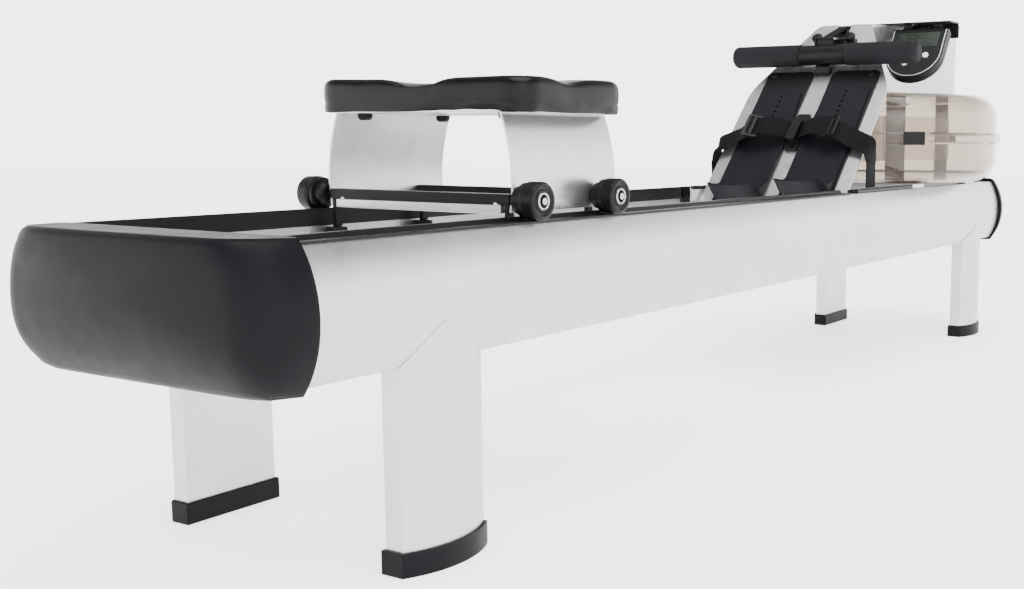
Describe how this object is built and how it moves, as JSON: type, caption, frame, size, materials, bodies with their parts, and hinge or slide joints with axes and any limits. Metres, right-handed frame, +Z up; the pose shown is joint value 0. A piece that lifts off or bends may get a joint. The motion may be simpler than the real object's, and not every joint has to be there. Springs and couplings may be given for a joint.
{
  "type": "water rowing machine",
  "caption": "Rowing machine with a seat that rolls on two rails, an inclined footboard, a pull handle and a round water tank for resistance.",
  "frame": {"origin": "on the floor under the middle of the overall length, on the centre line between the rails", "axes": "+X along the rails towards the water tank, +Y to the left of a person rowing, +Z up"},
  "size_m": [2.1298, 0.528, 0.6473],
  "materials": {
    "silver": "satin anodised",
    "steel": "brushed",
    "rubber": "soft matt rubber",
    "black_plastic": "fine grained matt",
    "grey_plastic": "fine grained matt",
    "foam": "soft closed-cell foam",
    "webbing": "woven webbing",
    "tank_clear": "smoky clear polycarbonate",
    "paddle": "smooth",
    "screen": "glossy display window",
    "button": "smooth",
    "pad": "moulded skinned foam"
  },
  "bodies": {
    "frame": {"rail_left": "silver", "rail_right": "silver", "leg_rear_left": "silver", "leg_rear_right": "silver", "leg_front_left": "silver", "leg_front_right": "silver", "boot_rear_left": "rubber", "boot_rear_right": "rubber", "boot_front_left": "rubber", "boot_front_right": "rubber", "track_left": "black_plastic", "track_right": "black_plastic", "end_cap_rear": "rubber", "end_cap_front": "rubber", "cross_member_rear": "silver", "footboard_cross_member": "silver", "tank_support_rear": "silver", "tank_support_front": "silver", "tank_lower": "tank_clear", "tank_upper": "tank_clear", "bearing_housing": "black_plastic", "footboard": "silver", "backing_plate_left": "black_plastic", "backing_plate_right": "black_plastic", "strap_bracket": "black_plastic", "foot_strap_left": "webbing", "foot_strap_right": "webbing", "handle_rest": "black_plastic", "roller_axle": "steel", "drive_strap": "webbing", "hood": "silver", "monitor_bracket": "black_plastic"},
    "seat": {"side_plate_left": "silver", "side_plate_right": "silver", "axle_beam_rear": "black_plastic", "axle_beam_front": "black_plastic", "cross_tie": "silver", "seat_plate": "silver", "seat_pad": "pad"},
    "wheel_rl": {"wheel_rear_left": "grey_plastic"},
    "wheel_rr": {"wheel_rear_right": "grey_plastic"},
    "wheel_fl": {"wheel_front_left": "grey_plastic"},
    "wheel_fr": {"wheel_front_right": "grey_plastic"},
    "guide_rl": {"guide_roller_rear_left": "black_plastic"},
    "guide_rr": {"guide_roller_rear_right": "black_plastic"},
    "guide_fl": {"guide_roller_front_left": "black_plastic"},
    "guide_fr": {"guide_roller_front_right": "black_plastic"},
    "foot_left": {"foot_plate_left": "grey_plastic"},
    "foot_right": {"foot_plate_right": "grey_plastic"},
    "handle": {"handle_bar": "black_plastic", "grip_left": "foam", "grip_right": "foam"},
    "roller": {"strap_roller": "black_plastic"},
    "drum": {"clutch_drum": "black_plastic"},
    "paddles": {"impeller": "paddle"},
    "plug": {"tank_plug": "rubber"},
    "monitor": {"monitor_housing": "black_plastic", "monitor_screen": "screen"},
    "button_l": {"button_left": "button"},
    "button_r": {"button_right": "button"}
  },
  "joints": [
    {"name": "seat_slide", "type": "slide", "parent": "frame", "child": "seat", "axis": [1, 0, 0], "range_m": [-0.28, 0.6]},
    {"name": "wheel_rear_left_spin", "type": "hinge", "parent": "seat", "child": "wheel_rl", "pos_m": [-0.669, 0.168, 0.3511], "axis": [0, 1, 0], "range_deg": [-780, 1660]},
    {"name": "wheel_rear_right_spin", "type": "hinge", "parent": "seat", "child": "wheel_rr", "pos_m": [-0.669, -0.168, 0.3511], "axis": [0, 1, 0], "range_deg": [-780, 1660]},
    {"name": "wheel_front_left_spin", "type": "hinge", "parent": "seat", "child": "wheel_fl", "pos_m": [-0.521, 0.168, 0.3511], "axis": [0, 1, 0], "range_deg": [-780, 1660]},
    {"name": "wheel_front_right_spin", "type": "hinge", "parent": "seat", "child": "wheel_fr", "pos_m": [-0.521, -0.168, 0.3511], "axis": [0, 1, 0], "range_deg": [-780, 1660]},
    {"name": "guide_rear_left_spin", "type": "hinge", "parent": "seat", "child": "guide_rl", "pos_m": [-0.669, 0.133, 0.304], "axis": [0, 0, 1], "range_deg": [-1290, 2760]},
    {"name": "guide_rear_right_spin", "type": "hinge", "parent": "seat", "child": "guide_rr", "pos_m": [-0.669, -0.133, 0.304], "axis": [0, 0, -1], "range_deg": [-1290, 2760]},
    {"name": "guide_front_left_spin", "type": "hinge", "parent": "seat", "child": "guide_fl", "pos_m": [-0.521, 0.133, 0.304], "axis": [0, 0, 1], "range_deg": [-1290, 2760]},
    {"name": "guide_front_right_spin", "type": "hinge", "parent": "seat", "child": "guide_fr", "pos_m": [-0.521, -0.133, 0.304], "axis": [0, 0, -1], "range_deg": [-1290, 2760]},
    {"name": "foot_plate_left_slide", "type": "slide", "parent": "frame", "child": "foot_left", "axis": [0.6947, 0, 0.7193], "range_m": [-0.026, 0.039]},
    {"name": "foot_plate_right_slide", "type": "slide", "parent": "frame", "child": "foot_right", "axis": [0.6947, 0, 0.7193], "range_m": [-0.039, 0.026]},
    {"name": "handle_pull", "type": "slide", "parent": "frame", "child": "handle", "axis": [-0.9781, 0, 0.2079], "range_m": [0, 1], "stiffness_N_per_m": 20, "springref_m": -0.6, "deforming": ["drive_strap"]},
    {"name": "strap_roller_spin", "type": "hinge", "parent": "frame", "child": "roller", "pos_m": [0.53313, 0, 0.62164], "axis": [0, 1, 0], "range_deg": [-4100, 0]},
    {"name": "clutch_drum_spin", "type": "hinge", "parent": "frame", "child": "drum", "pos_m": [0.685, 0, 0.61], "axis": [0, 0, 1], "range_deg": [-2390, 0]},
    {"name": "impeller_spin", "type": "hinge", "parent": "frame", "child": "paddles", "pos_m": [0.685, 0, 0.4225], "axis": [0, 0, 1], "continuous": true},
    {"name": "tank_plug_lift", "type": "slide", "parent": "frame", "child": "plug", "axis": [0, 0, 1], "range_m": [0, 0.03]},
    {"name": "monitor_tilt", "type": "hinge", "parent": "frame", "child": "monitor", "pos_m": [0.594, -0.1405, 0.63], "axis": [0, 1, 0], "range_deg": [-8, 18]},
    {"name": "button_left_press", "type": "slide", "parent": "monitor", "child": "button_l", "axis": [0.809, 0, -0.5878], "range_m": [0, 0.0015], "stiffness_N_per_m": 200},
    {"name": "button_right_press", "type": "slide", "parent": "monitor", "child": "button_r", "axis": [0.809, 0, -0.5878], "range_m": [0, 0.0015], "stiffness_N_per_m": 200}
  ],
  "couplings": [
    {"joint": "wheel_rear_left_spin", "follows": "seat_slide", "rad_per_m": 48.077},
    {"joint": "wheel_rear_right_spin", "follows": "seat_slide", "rad_per_m": 48.077},
    {"joint": "wheel_front_left_spin", "follows": "seat_slide", "rad_per_m": 48.077},
    {"joint": "wheel_front_right_spin", "follows": "seat_slide", "rad_per_m": 48.077},
    {"joint": "guide_rear_left_spin", "follows": "seat_slide", "rad_per_m": 80},
    {"joint": "guide_rear_right_spin", "follows": "seat_slide", "rad_per_m": 80},
    {"joint": "guide_front_left_spin", "follows": "seat_slide", "rad_per_m": 80},
    {"joint": "guide_front_right_spin", "follows": "seat_slide", "rad_per_m": 80},
    {"joint": "strap_roller_spin", "follows": "handle_pull", "rad_per_m": -71.429},
    {"joint": "clutch_drum_spin", "follows": "handle_pull", "rad_per_m": -41.667}
  ]
}
